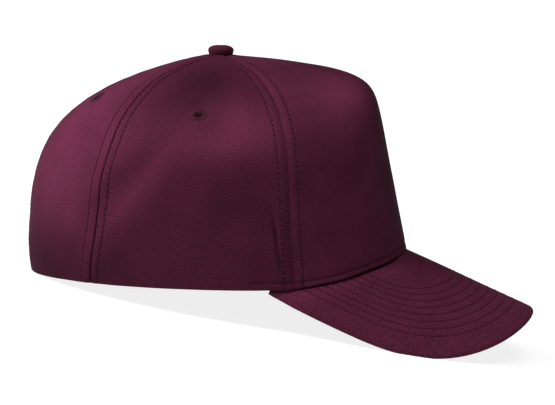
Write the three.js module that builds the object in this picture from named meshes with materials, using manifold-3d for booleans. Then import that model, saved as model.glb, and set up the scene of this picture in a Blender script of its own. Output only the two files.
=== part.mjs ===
import * as THREE from 'three';
import { mergeVertices } from 'three/addons/utils/BufferGeometryUtils.js';
import Module from 'manifold-3d';

const wasm = await Module();
wasm.setup();

// Five panel cap in millimetres. In the cap's own frame the rim lies in z = 0, the button stands on
// the z axis, the peak points to -y and the wearer's left is +x. At the end the whole cap is pitched
// back until its back rim and both sides of its peak touch the surface that it lies on.
// A polar angle is in degrees round the button's axis, 0 at the front and positive to +x.
// A share is the way along a panel, 0 at the rim and 1 at the button.

// Crown
const crownFrontReach = 103.6; // button's axis to the foot of the front wall
const crownBackReach = 101.2;
const crownHalfWidth = 85;
const crownHeight = 116; // rim to the cloth under the button
const clothWall = 1.5;
const pieceGap = 0.3; // clearance between neighbouring pieces
const rimTuck = 2; // how far the hem draws in at the back
const rimTuckHeight = 18;
const seamSink = 0.8; // depth of the valley that a seam pulls into the cloth
const seamSinkWidth = 3;
const foldDepth = 2.4;

// Peak
const peakLength = 74; // crown to tip along the middle
const peakNoseDepth = 90; // tip back to the widest place
const peakFlare = 1.9; // how far the widest place stands out past the corners
const peakSlope = 23.8; // degrees down to the front
const peakRise = 13.9; // height of the peak's top over the rim at its middle joint
const peakCornerPolar = 69;
const cornerEase = 4; // degrees over which the rim eases off the peak behind its corners
const peakThickness = 2.8;
const peakEdgeBulge = 0.7;
const cornerThinning = 0.45; // thickness left where the peak ends in a corner

// Sweatband
const bandHeight = 32;
const bandThickness = 1.2;
const bandInset = 1; // bottom edge of the band above the rim
const bandGap = 0.5; // clearance between the band and the cloth, whose facets cut inwards

// Button
const buttonRadius = 6.8;
const buttonHeight = 5.4;
const shankRadius = 1.6;
const shankClearance = 0.6;
const washerRadius = 6;
const washerThickness = 1;

// Eyelets
const eyeletRadius = 4.6;
const eyeletHoleRadius = 1.9;
const eyeletThickness = 2.6;

// Contact with the surface below: how much of the cloth is pressed flat
const pressedFlat = 0.6;

// Meridians of the crown. roundness is the exponent across, shoulder runs from 0, a square shoulder,
// to 1, a cone, and lean is how far the wall leans in for each millimetre up.
const MERIDIANS = [
  { polar: 0, roundness: 1.12, shoulder: 0.044, lean: 0.213 },
  { polar: 30, roundness: 1.47, shoulder: 0.122, lean: 0.12 },
  { polar: 58, roundness: 1.85, shoulder: 0.337, lean: 0.05 },
  { polar: 95, roundness: 2.07, shoulder: 0.337, lean: 0.03 },
  { polar: 134, roundness: 1.75, shoulder: 0.31, lean: 0.027 },
  { polar: 157, roundness: 1.55, shoulder: 0.28, lean: 0.025 },
  { polar: 180, roundness: 1.27, shoulder: 0.23, lean: 0.023 },
];

// Polar angles of the seams between front and side panels, and between side and back panels.
const SEAMS = [
  { share: 0, front: 60.3, rear: 133.2 },
  { share: 0.2, front: 61.3, rear: 131.3 },
  { share: 0.4, front: 59.9, rear: 132 },
  { share: 0.6, front: 57, rear: 134.6 },
  { share: 0.8, front: 56, rear: 136.8 },
  { share: 1, front: 62, rear: 135.5 },
];

// Soft folds and hollows of the cloth, alike on both sides. turn tips a fold from upright towards
// the front, along and across are its half sizes as shares of the crown's height, and depth is a
// share of foldDepth, negative for a hollow.
const FOLDS = [
  { name: 'puff_before_pleat', polar: 65, share: 0.15, turn: 4, along: 0.2, across: 0.04, depth: 0.5 },
  { name: 'puff_behind_pleat', polar: 76, share: 0.12, turn: 0, along: 0.2, across: 0.08, depth: 0.6 },
  { name: 'hollow_below_button', polar: 98, share: 0.76, turn: 0, along: 0.2, across: 0.26, depth: -1 },
  { name: 'ridge_behind_ear', polar: 127, share: 0.35, turn: 42, along: 0.26, across: 0.07, depth: 0.7 },
  { name: 'hollow_behind_ear', polar: 118, share: 0.3, turn: 48, along: 0.3, across: 0.1, depth: -0.7 },
  { name: 'hollow_at_back', polar: 157, share: 0.3, turn: 0, along: 0.22, across: 0.13, depth: -0.5 },
];

const EYELETS = [
  { name: 'side', polar: 97, share: 0.57 },
  { name: 'back', polar: 164, share: 0.6 },
];

// Facets
const meridianSteps = 120;
const outlineSteps = 120;
const frontRows = 20;
const crownRows = 15;
const frontColumns = 26;
const sideColumns = 16;
const backColumns = 11;
const peakHalfColumns = 14;
const peakRows = 7;
const bandColumns = 64;
const bandRows = 3;
const roundSides = 14;
const sectionSides = 8;
const seamCrowding = 0.3; // how much closer a panel's columns stand near its seams

const radians = THREE.MathUtils.degToRad;
const lerp = THREE.MathUtils.lerp;

// Smooth curve through one column of a table, level at both ends.
function readTable(rows, key, column, at) {
  const last = rows.length - 1;
  if (at <= rows[0][key]) return rows[0][column];
  if (at >= rows[last][key]) return rows[last][column];
  const i = rows.findIndex((row) => row[key] > at) - 1;
  const slope = (k) => (k <= 0 || k >= last ? 0
    : (rows[k + 1][column] - rows[k - 1][column]) / (rows[k + 1][key] - rows[k - 1][key]));
  const span = rows[i + 1][key] - rows[i][key];
  const t = (at - rows[i][key]) / span;
  const u = 1 - t;
  return rows[i][column] * (1 + 2 * t) * u * u + slope(i) * span * t * u * u
    + rows[i + 1][column] * (3 - 2 * t) * t * t - slope(i + 1) * span * u * t * t;
}

function meridianShape(polar) {
  const at = Math.abs(polar);
  const across = Math.sin(radians(at));
  const ahead = Math.cos(radians(at));
  const reach = ahead > 0 ? crownFrontReach : crownBackReach;
  return {
    rim: 1 / Math.hypot(ahead / reach, across / crownHalfWidth),
    roundness: readTable(MERIDIANS, 'polar', 'roundness', at),
    shoulder: readTable(MERIDIANS, 'polar', 'shoulder', at),
    lean: readTable(MERIDIANS, 'polar', 'lean', at),
    tuck: rimTuck * Math.max(0, -ahead),
  };
}

function wallRadius(shape, z) {
  return shape.rim - shape.lean * z - shape.tuck * Math.max(0, 1 - z / rimTuckHeight) ** 2;
}

function crownRadius(polar, z) {
  const shape = meridianShape(polar);
  const fall = 1 - (z / crownHeight) ** (1 / shape.shoulder);
  return wallRadius(shape, z) * Math.max(0, fall) ** (1 / shape.roundness);
}

// The peak is a sheet bent to an arch round a line that slopes down to the front. u runs round the
// arch and v down the slope. The arch is as deep as it takes to meet the rim at the corners.
const slope = radians(peakSlope);
const jointReach = crownRadius(0, peakRise);
const cornerRadius = crownRadius(peakCornerPolar, 0);
const cornerAcross = cornerRadius * Math.sin(radians(peakCornerPolar));
const cornerAhead = cornerRadius * Math.cos(radians(peakCornerPolar));
const cornerDrop = Math.cos(slope)
  * (peakRise + (jointReach - cornerAhead) * Math.tan(slope) + pieceGap);
const archRadius = (cornerAcross ** 2 + cornerDrop ** 2) / (2 * cornerDrop);

function archDrop(x) {
  return archRadius - Math.sqrt(Math.max(0, archRadius ** 2 - x * x));
}

function peakTop(x, y) {
  return peakRise + (jointReach + y) * Math.tan(slope) - archDrop(x) / Math.cos(slope);
}

function toSheet(x, y) {
  const u = archRadius * Math.asin(THREE.MathUtils.clamp(x / archRadius, -1, 1));
  const v = (-y - jointReach + archDrop(x) * Math.sin(slope)) / Math.cos(slope);
  return new THREE.Vector2(u, v);
}

function sheetNormal(u) {
  const turn = u / archRadius;
  return new THREE.Vector3(
    Math.sin(turn), -Math.cos(turn) * Math.sin(slope), Math.cos(turn) * Math.cos(slope));
}

function fromSheet(u, v, depth) {
  const drop = archRadius * (1 - Math.cos(u / archRadius));
  const ahead = jointReach + v * Math.cos(slope) - drop * Math.sin(slope);
  const height = peakRise - v * Math.sin(slope) - drop * Math.cos(slope);
  const across = archRadius * Math.sin(u / archRadius);
  return new THREE.Vector3(across, -ahead, height).addScaledVector(sheetNormal(u), -depth);
}

// Over the peak the rim runs up and over it.
function rimHeight(polar) {
  if (Math.abs(polar) >= peakCornerPolar) return 0;
  let z = 0;
  for (let i = 0; i < 5; i += 1) {
    const r = crownRadius(polar, z);
    const x = r * Math.sin(radians(polar));
    const y = -r * Math.cos(radians(polar));
    z = Math.max(0, peakTop(x, y) + pieceGap);
  }
  return z;
}

// Nothing above the peak reaches into it. The lift fades out behind the corners.
function clearOfPeak(point) {
  const polar = Math.abs(THREE.MathUtils.radToDeg(Math.atan2(point.x, -point.y)));
  const lift = Math.max(0, peakTop(point.x, point.y) + pieceGap - point.z);
  const fade = THREE.MathUtils.smoothstep(polar, peakCornerPolar, peakCornerPolar + cornerEase);
  point.z += lift * (1 - fade);
  return point;
}

// One meridian from the rim to the hole for the button's shank, with its length so far at each step.
const apexRadius = shankRadius + shankClearance;

function meridian(polar) {
  const shape = meridianShape(polar);
  const low = rimHeight(polar);
  const path = [{ r: crownRadius(polar, low), z: low, run: 0 }];
  for (let i = 1; i <= meridianSteps; i += 1) {
    const turn = Math.PI / 2 * (i / meridianSteps) ** (1 / (2 * shape.shoulder));
    const z = crownHeight * Math.sin(turn) ** (2 * shape.shoulder);
    if (z <= low) continue;
    const r = wallRadius(shape, z) * Math.max(0, Math.cos(turn)) ** (2 / shape.roundness);
    const before = path[path.length - 1];
    const step = { r, z, run: before.run + Math.hypot(r - before.r, z - before.z) };
    if (r > apexRadius) {
      path.push(step);
      continue;
    }
    const t = (before.r - apexRadius) / (before.r - r);
    path.push({ r: apexRadius, z: lerp(before.z, z, t), run: lerp(before.run, step.run, t) });
    break;
  }
  return path;
}

function alongMeridian(path, share) {
  const run = share * path[path.length - 1].run;
  let i = path.findIndex((step) => step.run >= run);
  if (i < 1) i = 1;
  const t = (run - path[i - 1].run) / (path[i].run - path[i - 1].run);
  return { r: lerp(path[i - 1].r, path[i].r, t), z: lerp(path[i - 1].z, path[i].z, t) };
}

function seamPolar(seam, share) {
  if (seam === 'middle') return 180;
  return readTable(SEAMS, 'share', seam, share);
}

// How far the cloth stands out from, or sinks under, the smooth crown. The sweatband behind the
// rim keeps it from sinking there.
function relief(polar, share, r) {
  const at = Math.abs(polar);
  let height = 0;
  for (const seam of ['front', 'rear', 'middle']) {
    const away = radians(at - seamPolar(seam, share)) * r;
    height -= seamSink * Math.exp(-((away / seamSinkWidth) ** 2));
  }
  for (const fold of FOLDS) {
    const a = radians(fold.polar - at) * crownHalfWidth;
    const b = (share - fold.share) * (crownHeight + crownHalfWidth / 2);
    const turn = radians(fold.turn);
    const up = (b * Math.cos(turn) + a * Math.sin(turn)) / (fold.along * crownHeight);
    const over = (a * Math.cos(turn) - b * Math.sin(turn)) / (fold.across * crownHeight);
    height += fold.depth * foldDepth * Math.exp(-(up ** 2) - over ** 2);
  }
  const aboveBand = THREE.MathUtils.smoothstep(share * crownHeight, bandHeight * 0.75, bandHeight * 1.6);
  const awayFromButton = Math.min(1, r / (buttonRadius * 3));
  return height * awayFromButton * (height < 0 ? aboveBand : 1);
}

function smoothPoint(polar, share) {
  const { r, z } = alongMeridian(meridian(polar), share);
  return new THREE.Vector3(r * Math.sin(radians(polar)), -r * Math.cos(radians(polar)), z);
}

function crownNormal(polar, share) {
  const turnStep = 0.5;
  const shareStep = 0.01;
  const low = Math.max(0, share - shareStep);
  const high = Math.min(1, share + shareStep);
  const round = smoothPoint(polar + turnStep, share).sub(smoothPoint(polar - turnStep, share));
  const up = smoothPoint(polar, high).sub(smoothPoint(polar, low));
  return round.cross(up).normalize();
}

function crownPoint(polar, share, depth) {
  const point = smoothPoint(polar, share);
  const r = Math.hypot(point.x, point.y);
  return point.addScaledVector(crownNormal(polar, share), relief(polar, share, r) - depth);
}

// The same place without folds, for what lies behind the cloth.
function liningPoint(polar, share, depth) {
  return smoothPoint(polar, share).addScaledVector(crownNormal(polar, share), -depth);
}

function indexed(points, faces) {
  const geometry = new THREE.BufferGeometry();
  const numbers = points.flatMap((point) => [point.x, point.y, point.z]);
  geometry.setAttribute('position', new THREE.Float32BufferAttribute(numbers, 3));
  geometry.setIndex(faces);
  return geometry;
}

// Closed shell between an upper and a lower skin, each a grid of columns by rows. A ring closes on
// itself, so its last column is its first. A nose, where there is one, rounds the edge at row 0.
function shell(columns, rows, upper, lower, { ring = false, nose = null } = {}) {
  const points = [];
  const faces = [];
  const count = ring ? columns : columns + 1;
  const addGrid = (grid, high) => {
    const start = points.length;
    for (let i = 0; i < count; i += 1) {
      for (let j = 0; j <= high; j += 1) points.push(grid(i, j));
    }
    return (i, j) => start + (i % count) * (high + 1) + j;
  };
  const top = addGrid(upper, rows);
  const under = addGrid(lower, rows);
  const edge = nose ? addGrid(nose, 0) : null;
  const quad = (a, b, c, d) => faces.push(a, b, c, a, c, d);
  for (let i = 0; i < columns; i += 1) {
    for (let j = 0; j < rows; j += 1) {
      quad(top(i, j), top(i + 1, j), top(i + 1, j + 1), top(i, j + 1));
      quad(under(i, j), under(i, j + 1), under(i + 1, j + 1), under(i + 1, j));
    }
    quad(top(i, rows), top(i + 1, rows), under(i + 1, rows), under(i, rows));
    if (nose) {
      quad(under(i, 0), under(i + 1, 0), edge(i + 1, 0), edge(i, 0));
      quad(edge(i, 0), edge(i + 1, 0), top(i + 1, 0), top(i, 0));
    } else {
      quad(under(i, 0), under(i + 1, 0), top(i + 1, 0), top(i, 0));
    }
  }
  if (ring) return indexed(points, faces);
  for (let j = 0; j < rows; j += 1) {
    quad(under(0, j), top(0, j), top(0, j + 1), under(0, j + 1));
    quad(top(columns, j), under(columns, j), under(columns, j + 1), top(columns, j + 1));
  }
  if (nose) {
    faces.push(under(0, 0), edge(0, 0), top(0, 0));
    faces.push(top(columns, 0), edge(columns, 0), under(columns, 0));
  }
  return indexed(points, faces);
}

function toSolid(geometry) {
  const bare = geometry.clone();
  bare.deleteAttribute('normal');
  bare.deleteAttribute('uv');
  const merged = mergeVertices(bare, 1e-4);
  return new wasm.Manifold(new wasm.Mesh({
    numProp: 3,
    vertProperties: new Float32Array(merged.attributes.position.array),
    triVerts: new Uint32Array(merged.index.array),
  }));
}

function toGeometry(solid) {
  const mesh = solid.getMesh();
  const geometry = new THREE.BufferGeometry();
  geometry.setAttribute('position', new THREE.BufferAttribute(mesh.vertProperties, 3));
  geometry.setIndex(new THREE.BufferAttribute(mesh.triVerts, 1));
  return geometry;
}

// Panels. Each runs between two seams and keeps half of the gap to both of them.
function panelGeometry(left, right, columns, rows) {
  const place = (i, j, depth) => {
    const share = j / rows;
    const way = lerp(i / columns, 0.5 - 0.5 * Math.cos(Math.PI * i / columns), seamCrowding);
    const edges = [left(share), right(share)].map((polar, side) => {
      const { r } = alongMeridian(meridian(polar), share);
      const inset = THREE.MathUtils.radToDeg(pieceGap / 2 / r);
      return polar + (side === 0 ? inset : -inset);
    });
    return clearOfPeak(crownPoint(lerp(edges[0], edges[1], way), share, depth));
  };
  return shell(columns, rows, (i, j) => place(i, j, 0), (i, j) => place(i, j, clothWall));
}

// Peak. Its inner edge lies under the rim, as far in as the sweatband's inner face.
const bandOuterDepth = clothWall + bandGap;
const bandInnerDepth = bandOuterDepth + bandThickness;

function evenly(path, count) {
  const runs = [0];
  for (let i = 1; i < path.length; i += 1) runs.push(runs[i - 1] + path[i].distanceTo(path[i - 1]));
  const total = runs[runs.length - 1];
  return Array.from({ length: count + 1 }, (_, k) => {
    const run = total * k / count;
    const i = Math.max(1, runs.findIndex((value) => value >= run - 1e-9));
    const t = (run - runs[i - 1]) / (runs[i] - runs[i - 1]);
    return path[i - 1].clone().lerp(path[i], t);
  });
}

function sheetUnderRim(polar, depth) {
  const point = crownPoint(polar, 0, depth);
  return toSheet(point.x, point.y);
}

// The peak tucks in under the rim, less and less towards its corners.
function peakInnerEdge() {
  const path = [];
  for (let i = 0; i <= outlineSteps; i += 1) {
    const polar = peakCornerPolar * (1 - i / outlineSteps);
    const tucked = THREE.MathUtils.smoothstep(peakCornerPolar - polar, 0, 4 * cornerEase);
    path.push(sheetUnderRim(polar, lerp(pieceGap, bandInnerDepth, tucked)));
  }
  return evenly(path, peakHalfColumns);
}

const noseSideRoundness = 2.15;
const noseTipRoundness = 2.8;

function peakOuterEdge() {
  const corner = sheetUnderRim(peakCornerPolar, -pieceGap);
  const widest = toSheet(cornerAcross, -cornerAhead).x + peakFlare;
  const widestAt = peakLength - peakNoseDepth;
  const path = [];
  for (let i = 0; i < outlineSteps; i += 1) {
    const back = 1 - i / outlineSteps;
    path.push(new THREE.Vector2(lerp(widest, corner.x, back ** 2), lerp(widestAt, corner.y, back)));
  }
  for (let i = 0; i <= outlineSteps; i += 1) {
    const turn = Math.PI / 2 * i / outlineSteps;
    path.push(new THREE.Vector2(
      widest * Math.max(0, Math.cos(turn)) ** (2 / noseSideRoundness),
      widestAt + peakNoseDepth * Math.sin(turn) ** (2 / noseTipRoundness)));
  }
  return evenly(path, peakHalfColumns);
}

// Columns run from the right corner to the left one, rows from the outer edge to the rim.
function peakGeometry() {
  const inner = peakInnerEdge();
  const outer = peakOuterEdge();
  const spotAt = (i, j) => {
    const k = peakHalfColumns - Math.abs(i - peakHalfColumns);
    const side = i < peakHalfColumns ? -1 : 1;
    const spot = outer[k].clone().lerp(inner[k], j / peakRows);
    return new THREE.Vector2(side * spot.x, spot.y);
  };
  // The plate thins out where it ends in a corner.
  const thickness = (i) => {
    const k = peakHalfColumns - Math.abs(i - peakHalfColumns);
    return peakThickness * lerp(cornerThinning, 1, Math.min(1, k / 2));
  };
  const place = (i, j, depth) => fromSheet(spotAt(i, j).x, spotAt(i, j).y, depth);
  const nose = (i) => {
    const out = spotAt(i, 0).sub(spotAt(i, 1)).normalize();
    const spot = spotAt(i, 0).addScaledVector(out, peakEdgeBulge);
    return fromSheet(spot.x, spot.y, thickness(i) / 2);
  };
  return shell(2 * peakHalfColumns, peakRows,
    (i, j) => place(i, j, 0), (i, j) => place(i, j, thickness(i)), { nose });
}

function bandGeometry() {
  const place = (i, j, depth) => {
    const polar = 360 * i / bandColumns - 180;
    const path = meridian(polar);
    const run = lerp(bandInset, bandHeight, j / bandRows);
    return clearOfPeak(liningPoint(polar, run / path[path.length - 1].run, depth));
  };
  return shell(bandColumns, bandRows,
    (i, j) => place(i, j, bandOuterDepth), (i, j) => place(i, j, bandInnerDepth), { ring: true });
}

function buttonGeometry(seat, underside) {
  const profile = [
    [0, underside - washerThickness],
    [washerRadius, underside - washerThickness],
    [washerRadius, underside],
    [shankRadius, underside],
    [shankRadius, seat],
    [buttonRadius * 0.93, seat],
  ];
  const brim = buttonHeight * 0.3;
  const steps = 6;
  for (let i = 0; i <= steps; i += 1) {
    const turn = Math.PI / 2 * i / steps;
    profile.push([buttonRadius * Math.cos(turn), seat + brim + (buttonHeight - brim) * Math.sin(turn)]);
  }
  profile[profile.length - 1][0] = 0;
  const points = profile.map(([r, z]) => new THREE.Vector2(r, z));
  return new THREE.LatheGeometry(points, roundSides).rotateX(Math.PI / 2);
}

function eyeletGeometry() {
  const middle = (eyeletRadius + eyeletHoleRadius) / 2;
  const half = (eyeletRadius - eyeletHoleRadius) / 2;
  const points = Array.from({ length: sectionSides + 1 }, (_, k) => {
    const turn = 2 * Math.PI * (k % sectionSides) / sectionSides;
    return new THREE.Vector2(middle + half * Math.cos(turn), eyeletThickness / 2 * Math.sin(turn));
  });
  return new THREE.LatheGeometry(points, roundSides).rotateX(Math.PI / 2);
}

// Where an eyelet sits: the middle of the cloth wall, with the wall's normal as its axis.
function eyeletPlace(eyelet, side) {
  const polar = side * eyelet.polar;
  const up = new THREE.Vector3(0, 0, 1);
  return {
    position: crownPoint(polar, eyelet.share, clothWall / 2),
    quaternion: new THREE.Quaternion().setFromUnitVectors(up, crownNormal(polar, eyelet.share)),
  };
}

function pierced(geometry, eyelet, side) {
  const punch = new THREE.CylinderGeometry(
    eyeletRadius + pieceGap, eyeletRadius + pieceGap, clothWall * 8, roundSides);
  punch.rotateX(Math.PI / 2);
  const place = eyeletPlace(eyelet, side);
  punch.applyQuaternion(place.quaternion);
  punch.translate(place.position.x, place.position.y, place.position.z);
  return toGeometry(toSolid(geometry).subtract(toSolid(punch)));
}

// Pitch of the cap at rest. The floor is a plane in the cap's frame, leaning with the pitch.
function lowestOfPeak(pitch) {
  const outer = peakOuterEdge();
  const heights = outer.map((spot) => {
    const point = fromSheet(spot.x, spot.y, peakThickness);
    return point.z * Math.cos(pitch) - point.y * Math.sin(pitch);
  });
  return Math.min(...heights);
}

function lowestOfBack(pitch) {
  const point = crownPoint(180, 0, 0);
  return point.z * Math.cos(pitch) - point.y * Math.sin(pitch);
}

function restingPitch() {
  let low = 0;
  let high = Math.PI / 4;
  for (let i = 0; i < 40; i += 1) {
    const middle = (low + high) / 2;
    if (lowestOfPeak(middle) < lowestOfBack(middle)) low = middle;
    else high = middle;
  }
  return low;
}

const pitch = restingPitch();
const floorLevel = lowestOfBack(pitch) + pressedFlat;

function flattened(geometry) {
  const size = 4 * (crownFrontReach + peakLength);
  const below = new THREE.BoxGeometry(size, size, size);
  below.translate(0, 0, floorLevel - size / 2);
  below.rotateX(pitch);
  return toGeometry(toSolid(geometry).subtract(toSolid(below)));
}

const crownCloth = new THREE.MeshStandardMaterial({ color: '#5a2740', roughness: 0.85, metalness: 0 });
const peakCloth = new THREE.MeshStandardMaterial({ color: '#4f2136', roughness: 0.85, metalness: 0 });
const bandCloth = new THREE.MeshStandardMaterial({ color: '#4a2034', roughness: 0.9, metalness: 0 });
const eyeletThread = new THREE.MeshStandardMaterial({ color: '#3f182a', roughness: 0.7, metalness: 0 });

const cap = new THREE.Group();

function addPiece(name, geometry, material) {
  const mesh = new THREE.Mesh(geometry, material);
  mesh.name = name;
  cap.add(mesh);
  return mesh;
}

// Panels of one side are built once and mirrored for the other.
function mirrored(geometry) {
  const copy = geometry.clone().scale(-1, 1, 1);
  const index = copy.index.array;
  for (let i = 0; i < index.length; i += 3) [index[i], index[i + 1]] = [index[i + 1], index[i]];
  return copy;
}

const frontSeam = (share) => seamPolar('front', share);
const rearSeam = (share) => seamPolar('rear', share);
const middleSeam = (share) => seamPolar('middle', share);
const frontPanel = panelGeometry((share) => -frontSeam(share), frontSeam, frontColumns, frontRows);
const sidePanel = pierced(
  panelGeometry(frontSeam, rearSeam, sideColumns, crownRows), EYELETS[0], 1);
const backPanel = flattened(pierced(
  panelGeometry(rearSeam, middleSeam, backColumns, crownRows), EYELETS[1], 1));

addPiece('front_panel', frontPanel, crownCloth);
addPiece('side_panel_left', sidePanel, crownCloth);
addPiece('side_panel_right', mirrored(sidePanel), crownCloth);
addPiece('back_panel_left', backPanel, crownCloth);
addPiece('back_panel_right', mirrored(backPanel), crownCloth);
addPiece('peak', flattened(peakGeometry()), peakCloth);
addPiece('sweatband', bandGeometry(), bandCloth);

// The button rests on the highest cloth under it, and its washer lies under the lowest.
const seatPolars = Array.from({ length: 19 }, (_, k) => 10 * k);
const heightAt = (polar, radius) => meridian(polar).findLast((step) => step.r >= radius).z;
const buttonSeat = Math.max(...seatPolars.map((polar) => heightAt(polar, apexRadius))) + pieceGap;
const washerSeat = Math.min(...seatPolars.map((polar) => heightAt(polar, washerRadius)))
  - clothWall - seamSink - pieceGap;
addPiece('button', buttonGeometry(buttonSeat, washerSeat), crownCloth);

for (const eyelet of EYELETS) {
  for (const [side, label] of [[1, 'left'], [-1, 'right']]) {
    const ring = addPiece(`eyelet_${eyelet.name}_${label}`, eyeletGeometry(), eyeletThread);
    const place = eyeletPlace(eyelet, side);
    ring.position.copy(place.position);
    ring.quaternion.copy(place.quaternion);
  }
}

// Lay the cap down: pitched back, with its contact spots in z = 0 and its box centred on the origin.
const product = new THREE.Group();
cap.rotation.x = -pitch;
product.add(cap);
product.updateMatrixWorld(true);
const box = new THREE.Box3().setFromObject(product, true);
cap.position.set(0, -(box.min.y + box.max.y) / 2, -floorLevel);

export default product;
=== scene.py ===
"""Five panel cap: fine cloth pieces, sewing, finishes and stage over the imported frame.

Lengths in the shape part are millimetres in the cap's own frame: the rim lies in z = 0, the button
stands on the z axis, the peak points to -y and the wearer's left is +x. A polar angle is in degrees
round the button's axis, 0 at the front and positive to +x. A share is the way along a panel, 0 at
the rim and 1 at the button. place() pitches everything back to how the cap lies, in metres.
"""

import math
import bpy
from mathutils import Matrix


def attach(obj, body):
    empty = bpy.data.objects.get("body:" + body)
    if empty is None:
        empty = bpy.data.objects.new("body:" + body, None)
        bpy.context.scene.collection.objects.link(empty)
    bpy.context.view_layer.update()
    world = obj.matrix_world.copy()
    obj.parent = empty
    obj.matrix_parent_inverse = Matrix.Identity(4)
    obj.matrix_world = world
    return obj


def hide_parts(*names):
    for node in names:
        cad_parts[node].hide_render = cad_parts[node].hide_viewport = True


bl_info = {
    "name": "Five Panel Cap",
    "version": (1, 0, 0),
    "blender": (4, 5, 0),
    "location": "3D View > Sidebar > Cap",
    "description": "Panels, peak, sweatband, button, eyelets and stitching of a cloth cap",
    "category": "Add Mesh",
}

import bpy
import numpy as np
from mathutils import Matrix, Vector

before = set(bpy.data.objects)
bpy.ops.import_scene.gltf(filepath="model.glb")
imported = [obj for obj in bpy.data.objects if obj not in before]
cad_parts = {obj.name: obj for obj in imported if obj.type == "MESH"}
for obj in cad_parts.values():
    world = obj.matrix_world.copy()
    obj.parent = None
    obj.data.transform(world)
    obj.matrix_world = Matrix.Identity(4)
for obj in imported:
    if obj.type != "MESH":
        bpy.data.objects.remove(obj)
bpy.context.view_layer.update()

MM = 0.001
TAU = 2 * math.pi

# Crown, as in the frame
FRONT_REACH = 103.6
BACK_REACH = 101.2
HALF_WIDTH = 85.0
CROWN_HEIGHT = 116.0
WALL = 1.5
GAP = 0.3
RIM_TUCK = 2.0
RIM_TUCK_HEIGHT = 18.0
FOLD_DEPTH = 2.4

# Peak, as in the frame
PEAK_LENGTH = 74.0
NOSE_DEPTH = 90.0
PEAK_FLARE = 1.9
PEAK_SLOPE = math.radians(23.8)
PEAK_RISE = 13.9
CORNER_POLAR = 69.0
CORNER_EASE = 4.0
PEAK_THICKNESS = 2.8
EDGE_BULGE = 0.7
CORNER_THINNING = 0.45
NOSE_SIDE_ROUNDNESS = 2.15
NOSE_TIP_ROUNDNESS = 2.8

# Sweatband, button and eyelets, as in the frame
BAND_HEIGHT = 32.0
BAND_THICKNESS = 1.2
BAND_INSET = 1.0
BAND_GAP = 0.5
BUTTON_RADIUS = 6.8
BUTTON_HEIGHT = 5.4
BUTTON_SINK = 0.8
SHANK_RADIUS = 1.6
SHANK_CLEARANCE = 0.6
WASHER_RADIUS = 6.0
WASHER_THICKNESS = 1.0
WASHER_ROOM = 0.8
EYELET_RADIUS = 4.6
EYELET_HOLE = 1.9
EYELET_THICKNESS = 2.6

# How the cap lies: pitched back on its back rim and the sides of its peak
PITCH = 0.15843
SHIFT_Y = 32.2306
SHIFT_Z = 15.0505

# Meridians: polar, roundness across, shoulder, lean
MERIDIANS = np.array([
    [0, 1.12, 0.044, 0.213],
    [30, 1.47, 0.122, 0.12],
    [58, 1.85, 0.337, 0.05],
    [95, 2.07, 0.337, 0.03],
    [134, 1.75, 0.31, 0.027],
    [157, 1.55, 0.28, 0.025],
    [180, 1.27, 0.23, 0.023],
])

# Seams: share, polar of the front seam, polar of the rear seam
SEAMS = np.array([
    [0, 60.3, 133.2],
    [0.2, 61.3, 131.3],
    [0.4, 59.9, 132],
    [0.6, 57, 134.6],
    [0.8, 56, 136.8],
    [1, 62, 135.5],
])
SEAM_COLUMNS = {"front": 1, "rear": 2}
SEAM_NAMES = ("front", "rear", "middle")

# Soft folds and hollows, as in the frame: polar, share, turn, along, across, depth
FOLDS = [
    (65, 0.15, 4, 0.2, 0.04, 0.5),
    (76, 0.12, 0, 0.2, 0.08, 0.6),
    (98, 0.76, 0, 0.2, 0.26, -1),
    (127, 0.35, 42, 0.26, 0.07, 0.7),
    (118, 0.3, 48, 0.3, 0.1, -0.7),
    (157, 0.3, 0, 0.22, 0.13, -0.5),
]

# Finer folds of the same kind, with their depth in millimetres
FINE_FOLDS = [
    (96, 0.86, 0, 0.1, 0.3, 0.6),
    (96, 0.66, 0, 0.12, 0.22, -2.8),
    (97, 0.64, 0, 0.05, 0.07, -1.1),
    (97, 0.52, 0, 0.06, 0.08, 1.1),
    (119, 0.26, 37, 0.26, 0.055, 1.7),
    (108, 0.23, 40, 0.3, 0.07, -1.6),
    (124, 0.13, 38, 0.2, 0.04, -0.8),
    (84, 0.42, 0, 0.1, 0.28, 2.3),
    (146, 0.13, 12, 0.14, 0.1, -1.3),
    (73, 0.62, 12, 0.2, 0.07, 0.9),
    (88, 0.2, -18, 0.2, 0.06, 0.7),
]

# Sharper creases that only the cloth's skin has: polar and share of their ends, half width, depth
CREASES = [
    (67.8, 0.25, 65.3, 0.07, 0.85, -1.4),
]

# Painted light and shade in the cloth's colour, as soft spots of the same kind: above 0 is painted
# paler (painted light), below 0 darker (painted shade)
PAINTED_LIGHT_AND_SHADE_SPOTS = [
    (94, 0.76, 0, 0.14, 0.3, -0.4),
    (158, 0.03, 0, 0.22, 0.5, -0.6),
    (8, 0.34, 0, 0.42, 0.17, -0.62),
    (160, 0.5, 0, 0.42, 0.26, 0.45),
    (121, 0.25, 37, 0.28, 0.06, 0.55),
    (110, 0.22, 40, 0.3, 0.07, -0.1),
    (72, 0.56, 0, 0.13, 0.2, 0.8),
    (94, 0.47, 0, 0.12, 0.45, 0.4),
    (80, 0.28, 0, 0.2, 0.2, -0.18),
    (44, 0.4, 0, 0.25, 0.2, -0.28),
    (54, 0.36, 0, 0.22, 0.07, -0.18),
    (57, 0.72, 0, 0.14, 0.14, 0.38),
    (129, 0.5, 0, 0.2, 0.1, 0.3),
    (85, 0.46, 0, 0.08, 0.16, 0.22),
    (22, 0.56, 0, 0.12, 0.25, 0.95),
    (148, 0.24, 0, 0.2, 0.12, 0.3),
    (28, 0.93, 0, 0.12, 0.4, 0.25),
]
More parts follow.
